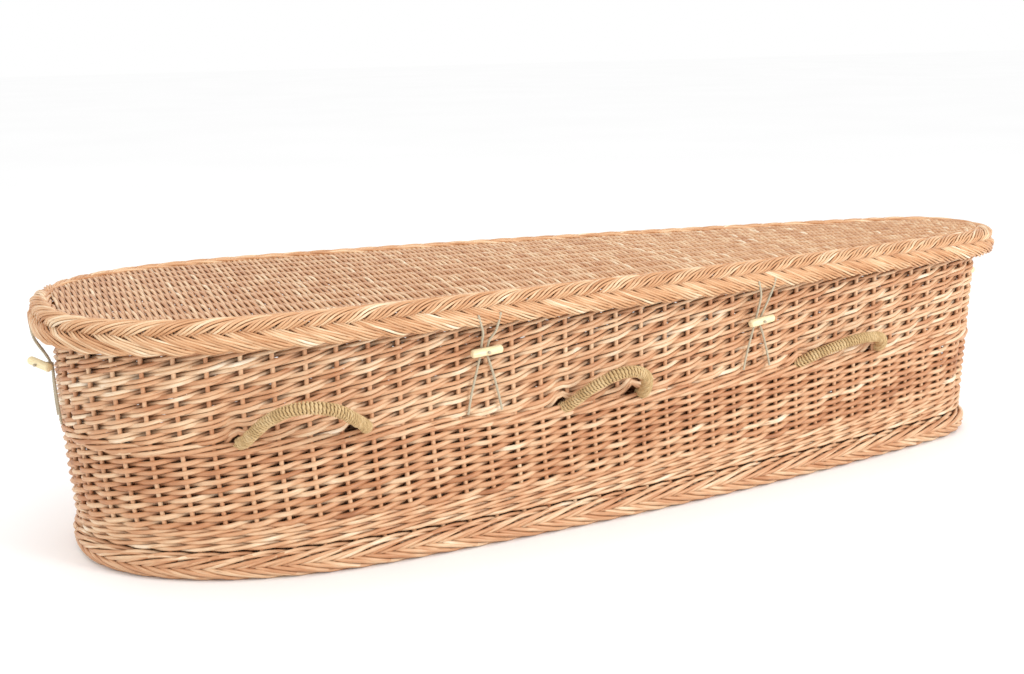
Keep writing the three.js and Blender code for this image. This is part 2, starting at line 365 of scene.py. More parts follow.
class RodTree(Graph):
    """A Geometry Nodes tree that lays round rods: numbered points are put in their places,
    joined rod by rod, and given a round section."""

    def __init__(self, name, sizes):
        super().__init__(bpy.data.node_groups.new(name, "GeometryNodeTree"))
        self.sizes = sizes
        face = self.tree.interface
        face.new_socket("Geometry", in_out="OUTPUT", socket_type="NodeSocketGeometry")
        self.names = {}
        for label, value in sizes.items():
            kind = next(k for t, k in SOCKET_KINDS.items() if isinstance(value, t))
            self.names[label] = face.new_socket(label, in_out="INPUT", socket_type=kind).identifier
        self.group = self.tree.nodes.new("NodeGroupInput")
        self.index = self.add("GeometryNodeInputIndex")

    def size(self, label):
        """The socket of a named input."""
        return Value(self, self.group.outputs[label])

    def number(self, steps):
        """Each point's rod, and its step along that rod."""
        rod = ((self.index + 0.5) / steps).math("FLOOR")
        return rod, self.index - rod * steps

    def chance(self, low, high, rod, seed):
        """A number from low to high that is different for each rod."""
        return self.add(
            "FunctionNodeRandomValue", {2: low, 3: high, "ID": rod, "Seed": seed},
            {"data_type": "FLOAT"}, output=1,
        )

    def sample(self, label, factor, output=("Position", "Tangent")):
        """Place and direction on a guide curve, as numbers, at a fraction of its length."""
        curve = self.add("GeometryNodeObjectInfo", {"Object": self.size(label)}, output="Geometry")
        found = self.add(
            "GeometryNodeSampleCurve", {"Curves": curve, "Factor": factor}, {"mode": "FACTOR"}, output,
        )
        return [part for vector in found for part in self.split(vector)]

    def on_wall(self, around, height, out):
        """Place on the wall: a fraction round it, a height and a distance out from its face. The courses
        sag a little from the shoulder to the foot end."""
        turn = around.math("FRACT")
        rim_x, rim_y, _, along_x, along_y, _ = self.sample("Rim outline", turn)
        middle_x, middle_y = self.sample("Middle outline", turn)[:2]
        ground_x, ground_y = self.sample("Ground outline", turn)[:2]
        rise = self.math("MINIMUM", height / PLAIT_BOTTOM, 1.0)
        low = (1 - rise) * (1 - rise * 2)
        half = rise * (1 - rise) * 4
        full = rise * (rise * 2 - 1)
        out = out - (1 - rise) * BASE_TUCK
        to_head = clamped(((turn - 0.5).math("ABSOLUTE") * 2 - SAG_START) * SAG_STEEPNESS)
        sag = mix(SAG_AT_FOOT, SAG_AT_HEAD, to_head * to_head * (3 - 2 * to_head))
        above_wale = clamped((height - WALE_TOP) / (BAND_HEIGHT - WALE_TOP))
        free = above_wale * clamped((PLAIT_BOTTOM - height) / (PLAIT_BOTTOM - BAND_HEIGHT))
        return (
            ground_x * low + middle_x * half + rim_x * full + along_y * out,
            ground_y * low + middle_y * half + rim_y * full - along_x * out,
            height + sag * free,
        )

    def lay(self, rod, step, rods, steps, place, radius, deep=0.0, spacing=0.01, closed=False,
            tint=None):
        """Joins the points into rods and bakes them as one mesh object."""
        count = self.math("MULTIPLY", rods, steps)
        geometry = self.add("GeometryNodePoints", {"Count": count, "Position": self.vector(*place)})
        seed = self.size("Seed")
        kept = {
            "thick": radius,
            "tint": self.chance(0.0, 1.0, rod, seed) if tint is None else tint,
            "along": step * spacing,
            # How strongly the finish darkens the rod with painted shade, where it lies behind others.
            "deep": deep,
            "rod": rod,
            "step": step,
        }
        for name, value in kept.items():
            geometry = self.store(geometry, name, value)
        curves = self.add(
            "GeometryNodePointsToCurves",
            {"Points": geometry, "Curve Group ID": self.named("rod"), "Weight": self.named("step")},
        )
        if closed:
            curves = self.add("GeometryNodeSetSplineCyclic", {"Geometry": curves, "Cyclic": True})
        section = {"Resolution": self.size("Sides"), "Radius": 1.0}
        circle = self.add("GeometryNodeCurvePrimitiveCircle", section, output="Curve")
        circle = self.store(circle, "side", self.add("GeometryNodeInputPosition"), "FLOAT_VECTOR")
        mesh = self.add(
            "GeometryNodeCurveToMesh",
            {"Curve": curves, "Profile Curve": circle, "Scale": self.named("thick"), "Fill Caps": not closed},
        )
        for name in ("thick", "rod", "step"):
            mesh = self.add("GeometryNodeRemoveAttribute", {"Geometry": mesh, "Name": name})
        mesh = self.add("GeometryNodeSetShadeSmooth", {"Geometry": mesh, "Shade Smooth": True})
        mesh = self.add("GeometryNodeRealizeInstances", {"Geometry": mesh})
        mesh = self.add("GeometryNodeSetMaterial", {"Geometry": mesh, "Material": self.size("Finish")})
        output = self.tree.nodes.new("NodeGroupOutput")
        self.tree.links.new(mesh.socket, output.inputs["Geometry"])
        return self.bake()

    def store(self, geometry, name, value, kind="FLOAT"):
        return self.add(
            "GeometryNodeStoreNamedAttribute", {"Geometry": geometry, "Name": name, "Value": value},
            {"data_type": kind, "domain": "POINT"},
        )

    def named(self, name):
        kind = {"data_type": "FLOAT"}
        return self.add("GeometryNodeInputNamedAttribute", {"Name": name}, kind, "Attribute")

    def bake(self):
        """Runs the tree on an empty mesh and keeps its result as a plain mesh at the origin."""
        name = self.tree.name
        piece = placed(name, bpy.data.meshes.new(name))
        modifier = piece.modifiers.new("Rods", "NODES")
        modifier.node_group = self.tree
        for label, value in self.sizes.items():
            modifier[self.names[label]] = value
        mesh = take_in(piece)
        bpy.data.node_groups.remove(self.tree)
        if not mesh.polygons:
            raise RuntimeError(name + " came out empty")
        return piece


def guide(name, points, closed=False):
    """A curve that is only followed and never shown."""
    data = bpy.data.curves.new(name, "CURVE")
    data.dimensions = "3D"
    spline = data.splines.new("POLY")
    spline.points.add(len(points) - 1)
    for target, p in zip(spline.points, points):
        target.co = (p.x, p.y, p.z, 1.0)
    spline.use_cyclic_u = closed
    curve = placed(name, data)
    curve.hide_render = True
    return curve


class WallGuides:
    """The wall's outline at three heights, as guide curves for one piece of work."""

    def __enter__(self):
        move = Vector((SHIFT, 0.0, 0.0))
        heights = {"Ground outline": 0.0, "Middle outline": PLAIT_BOTTOM / 2, "Rim outline": PLAIT_BOTTOM}
        self.curves = {
            name: guide(name, [p + move for p in outline(plan_at(height))], True)
            for name, height in heights.items()
        }
        return self.curves

    def __exit__(self, *_):
        drop(*self.curves.values())


# Finishes

def linear(code):
    """Linear colour of an sRGB one that is written as six hex digits."""
    parts = [int(code[i:i + 2], 16) / 255 for i in (0, 2, 4)]
    return (*(p / 12.92 if p <= 0.04045 else ((p + 0.055) / 1.055) ** 2.4 for p in parts), 1.0)


class Finish(Graph):
    """A material that is being built."""

    def __init__(self, name):
        self.material = bpy.data.materials.new(name)
        self.material.use_nodes = True
        super().__init__(self.material.node_tree)
        self.tree.nodes.clear()

    def attribute(self, name, output="Fac"):
        return self.add("ShaderNodeAttribute", None, {"attribute_name": name}, output)

    def noise(self, vector, scale, detail=2.0, roughness=0.5):
        return self.add(
            "ShaderNodeTexNoise",
            {"Vector": vector, "Scale": scale, "Detail": detail, "Roughness": roughness}, output="Fac",
        )

    def blend(self, factor, a, b):
        colours = {"Factor": factor, "A_Color": a, "B_Color": b}
        return self.add("ShaderNodeMix", colours, {"data_type": "RGBA"}, "Result")

    def ramp(self, tone, stops):
        return self.add("ShaderNodeValToRGB", {"Fac": tone}, {"stops": stops}, "Color")

    def surface(self, inputs, bump=None, strength=0.3, distance=0.001):
        """Ends the material in one Principled shader."""
        if bump is not None:
            inputs["Normal"] = self.add(
                "ShaderNodeBump", {"Height": bump, "Strength": strength, "Distance": distance},
            )
        shader = self.add("ShaderNodeBsdfPrincipled", inputs)
        end = self.tree.nodes.new("ShaderNodeOutputMaterial")
        self.tree.links.new(shader.socket, end.inputs["Surface"])
        return self.material


def willow_finish(name, stops, shift):
    """Buff willow: each rod has its own tone, with streaks along it, paler patches and small dark buds, and
    painted shade where it passes behind stakes or other rods.
    The shift makes all its rods paler or darker. The tint's large factors give each rod its own part of
    the noise."""
    f = Finish(name)
    tint, along, deep = (f.attribute(a) for a in ("tint", "along", "deep"))
    side_x, side_y, _ = f.split(f.attribute("side", "Vector"))
    streak = f.noise(f.vector(along * 22, side_x * 1.6 + tint * 71, side_y * 1.6 + tint * 37), 1.6, 4.0, 0.6)
    patch = f.noise(f.vector(along * 13 + tint * 131, tint * 53, 0.0), 1.0, 2.0)
    tone = clamped(tint * 0.32 + patch * 1.15 + (streak - 0.5) * 0.6 - 0.23 + shift)
    bud_place = f.vector(along * 16 + tint * 31, side_x * 0.55, side_y * 0.55)
    cell = f.add("ShaderNodeTexVoronoi", {"Vector": bud_place, "Scale": 1.0}, output="Distance")
    bud = clamped((0.13 - cell) * 14)
    colour = f.blend(bud * 0.55, f.ramp(tone, stops), BUD)
    # Painted shade: the colour is mixed towards a dark brown where the rod lies behind others.
    colour = f.blend(clamped(deep) * 0.85, colour, SHADE)
    rough = 0.36 + streak * 0.22 + bud * 0.2
    return f.surface(
        {"Base Color": colour, "Roughness": rough, "Specular IOR Level": 0.5},
        streak + bud * 0.5, 0.35, 0.0008,
    )


def cord_finish(name, stops, fine):
    """Twisted grass or hemp: fine fibres along the ply, and a tone that wanders."""
    f = Finish(name)
    tint, along = f.attribute("tint"), f.attribute("along")
    side_x, side_y, _ = f.split(f.attribute("side", "Vector"))
    fibre = f.noise(f.vector(along * fine, side_x * 2.4 + tint * 17, side_y * 2.4), 1.0, 3.0, 0.65)
    wander = f.noise(f.vector(along * 9, tint * 29, 0.0), 1.0, 2.0)
    tone = clamped(fibre * 0.7 + wander * 0.6 - 0.15)
    return f.surface(
        {"Base Color": f.ramp(tone, stops), "Roughness": 0.72 + fibre * 0.2, "Specular IOR Level": 0.25},
        fibre, 0.6, 0.0006,
    )


def peeled_finish(name):
    """Peeled pale wood: faint grain along the peg."""
    f = Finish(name)
    place = f.add("ShaderNodeTexCoord", output="Object")
    grain = f.noise(f.attribute("grain", "Vector"), 1.0, 4.0, 0.6)
    speck = f.noise(place, 900.0, 2.0)
    tone = clamped(grain * 0.8 + speck * 0.25)
    colour = f.ramp(tone, PEELED_STOPS)
    return f.surface(
        {"Base Color": colour, "Roughness": 0.48 + grain * 0.2, "Specular IOR Level": 0.35},
        grain, 0.3, 0.0005,
    )


def floor_finish(name):
    """Plain white floor."""
    f = Finish(name)
    place = f.add("ShaderNodeTexCoord", output="Object")
    soft = f.noise(place, 0.8, 1.0)
    colour = f.blend(soft, linear("FFFFFF"), linear("FBFBFB"))
    return f.surface({"Base Color": colour, "Roughness": 0.9, "Specular IOR Level": 0.0})


def stops_of(*stops):
    """Places and colours of a ramp, from places and codes."""
    return [(place, linear(code)) for place, code in stops]


# Dark brown of the painted shade on rods that pass behind others.
SHADE = linear("4A2412")
BUD = linear("7A4A2C")
WALL_STOPS = stops_of((0.0, "8E5836"), (0.3, "BA825A"), (0.55, "D0A078"), (0.78, "E2C19C"), (1.0, "F5E6CE"))
LID_STOPS = stops_of((0.0, "9A633C"), (0.3, "C08A5E"), (0.6, "D4A57A"), (0.82, "E4C39C"), (1.0, "F4E3C8"))
SEAGRASS_STOPS = stops_of((0.15, "86683F"), (0.5, "CBAC7C"), (0.85, "EBD5AC"))
TWINE_STOPS = stops_of((0.15, "3A2A16"), (0.5, "6B5232"), (0.85, "9A7F54"))
PEELED_STOPS = stops_of((0.2, "D9BE86"), (0.5, "EFDDB0"), (0.8, "F9EFCF"))
FINISHES = {
    "buff willow, lower wall": (willow_finish, WALL_STOPS, -0.03),
    "buff willow, upper wall": (willow_finish, WALL_STOPS, 0.10),
    "buff willow, wale": (willow_finish, WALL_STOPS, 0.07),
    "buff willow, stakes": (willow_finish, WALL_STOPS, -0.02),
    "buff willow, lid": (willow_finish, LID_STOPS, 0.06),
    "buff willow, plait": (willow_finish, LID_STOPS, 0.08),
    "seagrass": (cord_finish, SEAGRASS_STOPS, 500),
    "twine": (cord_finish, TWINE_STOPS, 900),
    "peeled wood": (peeled_finish,),
    "floor": (floor_finish,),
}


def finish(name):
    """One of the casket's finishes, made the first time that it is wanted."""
    maker, *values = FINISHES[name]
    return bpy.data.materials.get(name) or maker(name, *values)


def settle(piece, slot, *nodes):
    """The piece rides with the casket, and stands for its CAD nodes."""
    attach(piece, "root")
    if nodes:
        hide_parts(*nodes)
    return piece


# Wall

STAKES = 82
STAKE_OUT = WALL_MIDDLE + 0.0022
STAKE_FOOT = 0.020
STAKE_LENGTH = 0.396
ROD_TURNS = 0.07
ROD_TAPER = 0.1
ROD_WOBBLE = 0.0009
ROD_VARIATION = 0.0002
PART_BESIDE = (0.010, 0.012)
PART_WIDTH = 0.0135
PART_PUSH = 0.015
PART_FADE = 42
PART_HEIGHT = 0.240
STAKE_PHASE = fraction_at(-0.5929) * STAKES % 1.0


def hole_fractions():
    """Middle of the opening by each end of a rope, as fractions round the wall: the weave is parted
    on the head side of the rope."""
    found = []
    for side in (1, -1):
        for handle in HANDLES:
            middle = side * fraction_at(handle["x"])
            for end, beside in zip((-1, 1), PART_BESIDE):
                along = end * handle["span"] / 2 - beside
                found.append((middle + side * along / WALL_LOOP.length) % 1.0)
    return found


def zigzag(level):
    """In front of one stake and behind the next: nearly straight between them, and rounded where it turns."""
    angle = level * math.pi
    return (angle.math("COSINE") + (angle * 3).math("COSINE") * ROD_TURNS) / (1 + ROD_TURNS)


def make_randing(name, guides, look, sizes, pair_gap=0.0):
    """One band of slanting rods: each starts at its own stake and climbs one row at every stake. Pairs of
    rods are parted above the band for the rope ends."""
    sizes = {"Sides": 6, "Seed": 3, "Finish": finish(look), **guides, **sizes}
    g = RodTree(name, sizes)
    samples = 5
    levels = sizes["Rows"] + 2
    steps = levels * samples + 1
    twins = 2 if pair_gap else 1
    rod, step = g.number(steps)
    start = (rod / twins).math("FLOOR")
    twin = rod - start * twins
    level = step / samples - 1
    wave = zigzag(level)
    around = (start + level + STAKE_PHASE) / STAKES
    wobble = g.chance(-ROD_WOBBLE, ROD_WOBBLE, rod + 7, g.size("Seed"))
    height = g.size("Lowest") + level * g.size("Pitch") + wobble
    if pair_gap:
        height = height + (twin - 0.5) * pair_gap
        above = ((height - PART_HEIGHT) * -PART_FADE).math("EXPONENT")
        for hole in hole_fractions():
            off = ((around - hole + 0.5).math("FRACT") - 0.5) * (WALL_LOOP.length / PART_WIDTH)
            height = height + (off * off * -1).math("EXPONENT") * above * PART_PUSH
    out = WALL_MIDDLE + wave * g.size("Swing")
    variation = g.chance(-ROD_VARIATION, ROD_VARIATION, rod, 5)
    radius = g.size("Radius") * (1.04 - level / levels * ROD_TAPER) + variation
    spacing = WALL_LOOP.length / STAKES / samples
    # Painted shade on each rod where it passes behind a stake.
    return g.lay(rod, step, STAKES * twins, steps, g.on_wall(around, height, out), radius,
                 deep=0.08 - wave * 0.5, spacing=spacing)


def make_stakes(guides, radius):
    """The uprights that the rods are woven round."""
    sizes = {"Sides": 8, "Seed": 11, "Radius": radius, "Finish": finish("buff willow, stakes"), **guides}
    g = RodTree("wall_stakes", sizes)
    steps = 9
    rod, step = g.number(steps)
    height = STAKE_FOOT + step * (STAKE_LENGTH / (steps - 1))
    lean = g.chance(-0.0018, 0.0018, rod, 2) * (height * 5 - 1)
    around = (rod + STAKE_PHASE) / STAKES + lean / WALL_LOOP.length
    place = g.on_wall(around, height, STAKE_OUT)
    return g.lay(rod, step, STAKES, steps, place, g.size("Radius"), spacing=0.05)


def make_wale(name, guides, look, sizes, strands, repeats, rows, flat=False):
    """Rounds of twisted rods: each passes in front of its stakes and dips behind the next. Flat rounds
    swing up and down instead of in and out."""
    sizes = {"Sides": 6, "Seed": 5, "Pitch": 0.0, "Finish": finish(look), **guides, **sizes}
    g = RodTree(name, sizes)
    samples = 4
    steps = repeats * samples
    rod, step = g.number(steps)
    row = (rod / strands).math("FLOOR")
    strand = rod - row * strands
    turn = (step / samples - strand) * (2 * math.pi / strands)
    wave, climb = turn.math("COSINE"), turn.math("SINE")
    around = step / steps + 0.31 / repeats
    swing, lift = wave * g.size("Swing"), climb * g.size("Climb")
    rise, reach = (swing, lift) if flat else (lift, swing)
    height = g.size("Height") + row * g.size("Pitch") + rise
    out = g.size("Out") + reach
    spacing = WALL_LOOP.length / steps
    # Painted shade on each rod where it dips behind a stake.
    return g.lay(rod, step, rows * strands, steps, g.on_wall(around, height, out), g.size("Radius"),
                 deep=0.05 - wave * 0.3, spacing=spacing, closed=True)


PLAIT_FRONT = 0.72
PLAIT_BOW = 0.35
PLAIT_NEST = 0.26
PANEL_LENGTH = 1.930
PANEL_HEIGHT = 0.4412
PANEL_CROWN = 0.0034
PANEL_FLATTENING = 60
HELD_APART = 0.0006
WEAVER_BEND = 0.0004
STICK_INSET = 0.012


def make_plait(name, guides, look, profile, sizes, strands, repeats, per_strand, samples):
    """A border of flat strands that cross in arrowheads: each climbs over the front to one edge, comes
    back behind, and goes over the front to the other edge."""
    edge = guide("plait section", profile)
    sizes = {"Sides": 5, "Seed": 8, "Finish": finish(look), "Section": edge, **guides, **sizes}
    g = RodTree(name, sizes)
    steps = repeats * samples
    rod, step = g.number(steps)
    strand = (rod / per_strand).math("FLOOR")
    member = rod - strand * per_strand
    across = (member + 0.5) / per_strand - 0.5
    turn = (step / samples - strand - across * g.size("Packing")) * (2.0 / strands)
    turn = turn - (turn / 2).math("FLOOR") * 2
    lower = turn.math("FLOOR")
    q = turn - lower
    going = clamped(q / PLAIT_FRONT)
    coming = clamped((q - PLAIT_FRONT) / (1 - PLAIT_FRONT))
    reach = going * (1 + PLAIT_BOW - going * PLAIT_BOW) * (coming * (math.pi / 2)).math("COSINE")
    reach = reach * (1.0 - member * (PLAIT_NEST / max(per_strand - 1, 1)))
    v = reach * (1 - lower * 2)
    phase = going * math.pi + coming * math.pi
    depth = clamped(phase.math("SINE") * 0.9 + 0.5) * 2 - 1
    crown = 1 - across * across * 4
    section_out, _, section_up, along_out, _, along_up = g.sample("Section", clamped((v + 1) / 2))
    lift = depth * g.size("Swing") + crown * depth.math("MAXIMUM", 0.0) * g.size("Crown")
    out = section_out + along_up * lift
    height = section_up - along_out * lift
    around = step / steps + 0.2 / repeats
    spacing = WALL_LOOP.length / steps
    # Painted shade where a strand passes behind, and along the edges of each strand, between its neighbours.
    piece = g.lay(rod, step, strands * per_strand, steps, g.on_wall(around, height, out), g.size("Radius"),
                  deep=0.05 - depth * 0.4 + (1 - crown) * 0.4, spacing=spacing, closed=True,
                  tint=g.chance(0.0, 0.5, rod, 8) + g.chance(0.0, 0.5, strand, 9))
    drop(edge)
    return piece


def make_panel(name, look, plan, sizes, weavers, pitch, intervals, samples):
    """A flat weave: close weavers across the width, over and under sticks that run the length."""
    sizes = {"Sides": 5, "Seed": 21, "Finish": finish(look), **sizes}
    g = RodTree(name, sizes)
    steps = intervals * samples + 1
    rod, step = g.number(steps)
    x = g.size("Start") + rod * pitch
    reach = half_width(x, plan) - g.size("Inset")
    full = side_width(x, plan)
    tau = step / samples - intervals / 2
    y = tau * (full * (2.0 / intervals))
    room = reach - y.math("ABSOLUTE")
    inside = clamped(room * PANEL_FLATTENING)
    held = y.math("MAXIMUM", -reach).math("MINIMUM", reach)
    y = held + tau * HELD_APART
    wave = ((tau + rod) * math.pi).math("COSINE")
    share = y / full
    crown = g.size("Crown") * (1 - share * share)
    z = g.size("Height") + crown + wave * g.size("Swing") * inside
    bend = g.chance(-WEAVER_BEND, WEAVER_BEND, rod, 4)
    # Painted shade on each weaver where it passes under a stick.
    return g.lay(rod, step, weavers, steps, (x + SHIFT + bend, y, z), g.size("Radius"),
                 deep=0.05 - wave * 0.3, spacing=0.012)


def make_sticks(name, look, plan, sizes, intervals):
    """The sticks that run the length of a flat weave."""
    sizes = {"Sides": 6, "Seed": 23, "Finish": finish(look), **sizes}
    g = RodTree(name, sizes)
    steps = 61
    rod, step = g.number(steps)
    tau = rod - (intervals / 2 - 0.5)
    share = step / (steps - 1)
    x = mix(plan["head_x"] + STICK_INSET, plan["foot_x"] - STICK_INSET, share)
    full = side_width(x, plan)
    reach = half_width(x, plan) - STICK_INSET
    y = (tau * (full * (2.0 / intervals))).math("MAXIMUM", -reach).math("MINIMUM", reach)
    offset = y / full
    z = g.size("Height") + g.size("Crown") * (1 - offset * offset)
    # Painted shade all along the sticks, which lie under the weavers.
    return g.lay(rod, step, intervals, steps, (x + SHIFT, y, z), g.size("Radius"), deep=0.4, spacing=0.03)


# Rope and twine

def make_strands(name, line, look, sizes, strands, turns_per_metre, wound=False, per_turn=10):
    """Twisted strands that follow a line, or a two-strand cord wound round it."""
    path = guide(name + " line", line)
    length = length_of(line)
    sizes = {"Sides": 6, "Seed": 31, "Finish": finish(look), "Line": path, **sizes}
    g = RodTree(name, sizes)
    turns = turns_per_metre * length
    steps = int(turns * per_turn) + 1
    rod, step = g.number(steps)
    share = step / (steps - 1)
    px, py, pz, tx, ty, tz, nx, ny, nz = g.sample("Line", share, ("Position", "Tangent", "Normal"))
    bx, by, bz = ty * nz - tz * ny, tz * nx - tx * nz, tx * ny - ty * nx
    angle = share * (2 * math.pi * turns)
    if not wound:
        angle = angle + rod * (2 * math.pi / strands)
    c, s = angle.math("COSINE"), angle.math("SINE")
    rx, ry, rz = nx * c + bx * s, ny * c + by * s, nz * c + bz * s
    out = g.size("Out")
    if wound:
        twist = share * (2 * math.pi * turns * sizes["Twists"]) + rod * (2 * math.pi / strands)
        out = out + twist.math("COSINE") * g.size("Ply")
        lead = twist.math("SINE") * g.size("Ply")
        px, py, pz = px + tx * lead, py + ty * lead, pz + tz * lead
    place = (px + rx * out, py + ry * out, pz + rz * out)
    piece = g.lay(rod, step, strands, steps, place, g.size("Radius"), spacing=length / steps * 6)
    drop(path)
    return piece


def joined(name, parts):
    """Several meshes of one finish as one piece."""
    whole = bmesh.new()
    for part in parts:
        whole.from_mesh(part.data)
    mesh = mesh_of(name, whole)
    mesh.materials.append(parts[0].data.materials[0])
    drop(*parts)
    return placed(name, mesh)


def handle_line(handle, side):
    """The rope's line: out of its first hole, up and away from the wall, and in at the second. A station
    is measured along the wall, out from it and up, from the point between the two holes."""
    middle = side * fraction_at(handle["x"])
    half = handle["span"] / 2
    out, up, skew = handle["out"], handle["up"], handle["skew"]
    stations = (
        (-half - 0.009, -WALL + 0.003, -0.009), (-half - 0.002, -0.001, -0.003),
        (-half + 0.009, out * 0.24, up * (0.2 + 0.03 * skew)),
        (-half * 0.66, out * 0.58, up * (0.57 + 0.11 * skew)),
        (-half * 0.3, out * 0.9, up * (0.9 + 0.09 * skew)), (half * 0.05, out, up),
        (half * 0.4, out * 0.95, up * (0.92 - 0.07 * skew)),
        (half * 0.74, out * 0.72, up * (0.66 - 0.17 * skew)),
        (half - 0.002, out * 0.32, up * (0.24 - 0.08 * skew)),
        (half + 0.005, 0.002, 0.0), (half + 0.007, -WALL + 0.003, -0.004),
    )
    base = near_wall(middle, 0.0, handle["height"], 0.0)
    along, outward = WALL_LOOP.directions(middle)
    points = [base + along * (side * a) + outward * o + Vector((0.0, 0.0, u)) for a, o, u in stations]
    return smooth_line(points)


def toggles():
    """Every toggle with its place round the wall."""
    for side in (1, -1):
        for toggle in SIDE_TOGGLES:
            label = ("front_" if side > 0 else "back_") + toggle["name"]
            yield label, side * fraction_at(toggle["x"]), toggle
    for toggle in END_TOGGLES:
        yield toggle["name"], toggle["at"], toggle


def toggle_frame(fraction, toggle):
    """The toggle's middle, its axis, the way through it and its third direction."""
    along, outward = WALL_LOOP.directions(fraction)
    centre = near_wall(fraction, 0.0, toggle["height"], TOGGLE_OUT + toggle.get("away", 0.0))
    turned = math.radians(toggle["turn"])
    axis = along * math.cos(turned) + outward * math.sin(turned)
    through = outward * math.cos(turned) - along * math.sin(turned)
    axis.rotate(Matrix.Rotation(math.radians(toggle["lean"]), 3, through))
    return centre, axis, through, axis.cross(through)


def basket_loop(fraction, toggle):
    """Line of the twine that holds a toggle: two legs from above the band to behind the toggle. A station
    is a distance along the wall, a height and a distance out."""
    bottom, height = BAND_HEIGHT + 0.013, toggle["height"]
    stations = (
        (-0.033, bottom, 0.0022), (-0.026, mix(bottom, height, 0.3), 0.0032),
        (-0.014, mix(bottom, height, 0.68), 0.004), (-0.005, height - 0.007, 0.0042),
        (0.0, height, 0.0042), (0.005, height - 0.007, 0.0042), (0.015, mix(bottom, height, 0.66), 0.004),
        (0.025, mix(bottom, height, 0.3), 0.0032), (0.032, bottom, 0.0022),
    )
    return smooth_line([near_wall(fraction, *station) for station in stations])


def lid_loop(fraction, toggle):
    """Line of the twine that hangs from the plait and hooks behind a toggle, one leg and its mirror."""
    height, spread = toggle["height"], toggle.get("spread", 1.0)
    out = LID_OVERHANG + TWINE_RADIUS + 0.00075
    half = (
        (0.021, PLAIT_BOTTOM + 0.023, out), (0.017, PLAIT_BOTTOM + 0.008, out),
        (0.012, PLAIT_BOTTOM - 0.008, out - 0.003), (0.007 * spread, height + 0.018, 0.015),
        (0.0055 * spread, height + 0.004, 0.0081), (0.0035 * spread, height - 0.004, 0.0084),
    )
    stations = [(-a, z, o) for a, z, o in half] + [(0.0, height - 0.007, 0.0088)] + list(reversed(half))
    return smooth_line([near_wall(fraction, *station) for station in stations])


def blob(name, centre, radius, look):
    """A small lumpy knot."""
    shape = bmesh.new()
    bmesh.ops.create_icosphere(shape, subdivisions=3, radius=radius)
    for vertex in shape.verts:
        p = vertex.co.normalized()
        ridge = math.sin(9 * p.x + 5 * p.z) * math.cos(7 * p.y - 4 * p.x)
        vertex.co = centre + vertex.co * (1 + 0.12 * ridge)
    mesh = mesh_of(name, shape)
    mesh.shade_smooth()
    mesh.materials.append(finish(look))
    return placed(name, mesh)


def peg(name, centre, axis, through, up, length):
    """A whittled peg with rounded ends, its bore from front to back."""
    shape = bmesh.new()
    half = length / 2
    r = TOGGLE_RADIUS
    profile = (
        (-half, r * 0.42), (-half + 0.0004, r * 0.72), (-half + 0.0016, r * 0.9), (-half + 0.004, r * 0.98),
        (-half * 0.6, r * 1.0), (-half * 0.25, r * 0.97), (half * 0.1, r * 0.99), (half * 0.5, r * 0.96),
        (half - 0.005, r * 0.99), (half - 0.002, r * 0.93), (half - 0.0005, r * 0.75), (half, r * 0.45),
    )
    sides = 28
    rings = []
    for x, radius in profile:
        ring = []
        for k in range(sides):
            angle = 2 * math.pi * k / sides
            cut = 1 + 0.018 * math.sin(5 * angle + 60 * x) + 0.012 * math.sin(3 * angle - 110 * x)
            ring.append(shape.verts.new((x, radius * cut * math.cos(angle), radius * cut * math.sin(angle))))
        rings.append(ring)
    for a, b in zip(rings, rings[1:]):
        for k in range(sides):
            n = (k + 1) % sides
            shape.faces.new((a[k], a[n], b[n], b[k]))
    shape.faces.new(reversed(rings[0]))
    shape.faces.new(rings[-1])
    bmesh.ops.recalc_face_normals(shape, faces=shape.faces)
    piece = placed(name, mesh_of(name, shape))
    drill_shape = bmesh.new()
    bmesh.ops.create_cone(
        drill_shape, cap_ends=True, segments=16, radius1=BORE_RADIUS, radius2=BORE_RADIUS, depth=0.05,
        matrix=Matrix.Rotation(math.pi / 2, 4, "X"),
    )
    drill = placed("drill", mesh_of("drill", drill_shape))
    cut = piece.modifiers.new("Bore", "BOOLEAN")
    cut.operation = "DIFFERENCE"
    cut.object = drill
    bored = take_in(piece)
    drop(drill)
    grain = bored.attributes.new("grain", "FLOAT_VECTOR", "POINT")
    offset = Vector((centre.x * 40, centre.y * 40, 0.0))
    for vertex, item in zip(bored.vertices, grain.data):
        item.vector = Vector((vertex.co.x * 60, vertex.co.y * 420, vertex.co.z * 420)) + offset
    place = Matrix((axis, through, up)).transposed().to_4x4()
    place.translation = centre
    bored.transform(place)
    bored.shade_smooth()
    bored.set_sharp_from_angle(angle=math.radians(50))
    bored.materials.clear()
    bored.materials.append(finish("peeled wood"))
    return piece


# Settings

def distance(name, text, default, least=0.0001):
    """A size in metres that a user can change."""
    return bpy.props.FloatProperty(
        name=name, description=text, default=default, min=least, soft_max=default * 4,
        unit="LENGTH", subtype="DISTANCE", precision=4,
    )


class CasketWallSettings(bpy.types.PropertyGroup):
    lower_rows: bpy.props.IntProperty(
        name="Lower rows", description="Rows of single rods below the band", default=16, min=4)
    lower_pitch: distance("Lower pitch", "Height that a lower rod climbs at each stake", 0.00785)
    lower_radius: distance("Lower rod radius", "Radius of a lower rod", 0.0047)
    upper_rows: bpy.props.IntProperty(
        name="Upper rows", description="Rows of paired rods above the band", default=12, min=4)
    upper_pitch: distance("Upper pitch", "Height that a pair climbs at each stake", 0.0121)
    upper_radius: distance("Upper rod radius", "Radius of one rod of a pair", 0.0038)
    swing: distance("Swing", "How far a rod's middle stands in front of its stake", 0.0070)
    stake_radius: distance("Stake radius", "Radius of an upright stake", 0.0041)


